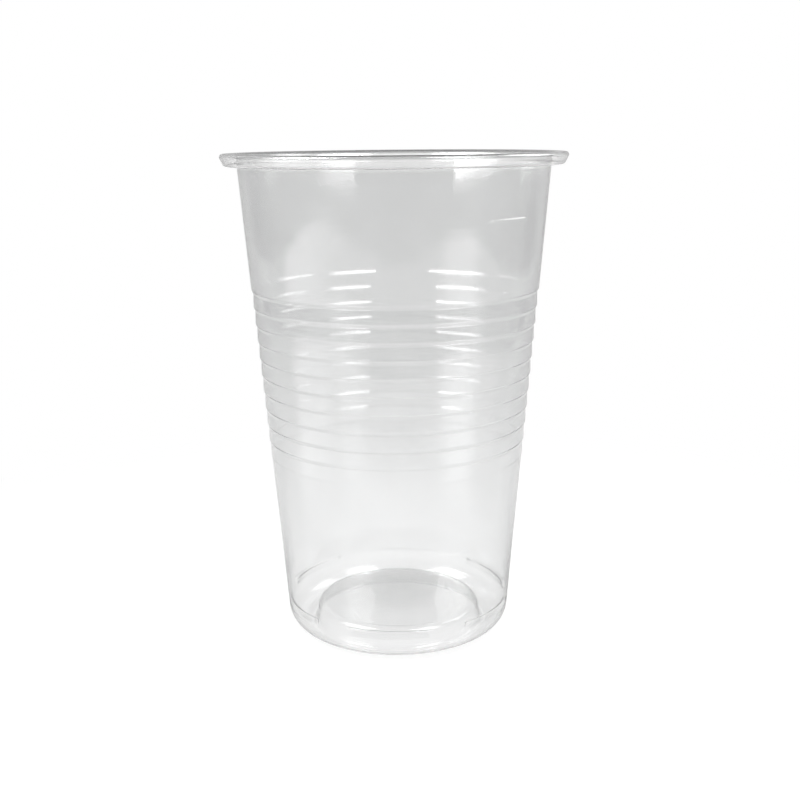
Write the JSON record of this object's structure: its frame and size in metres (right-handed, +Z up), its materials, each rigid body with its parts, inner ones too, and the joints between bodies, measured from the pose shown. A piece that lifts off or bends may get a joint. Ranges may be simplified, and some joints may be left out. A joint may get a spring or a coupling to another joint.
{
  "type": "disposable plastic cup",
  "caption": "Clear tapered disposable cup with a rolled rim, stepped grip rings, a short fill line, stacking lugs and a pushed-up base, formed from one thin sheet.",
  "frame": {"origin": "centre of the foot, on the plane that the cup stands on", "axes": "+Z up along the cup's axis to the mouth; -Y is the front, and the fill line lies between the front and +X"},
  "size_m": [0.095, 0.095, 0.136],
  "materials": {
    "clear_plastic": "gloss"
  },
  "bodies": {
    "root": {"cup": "clear_plastic"}
  },
  "joints": []
}
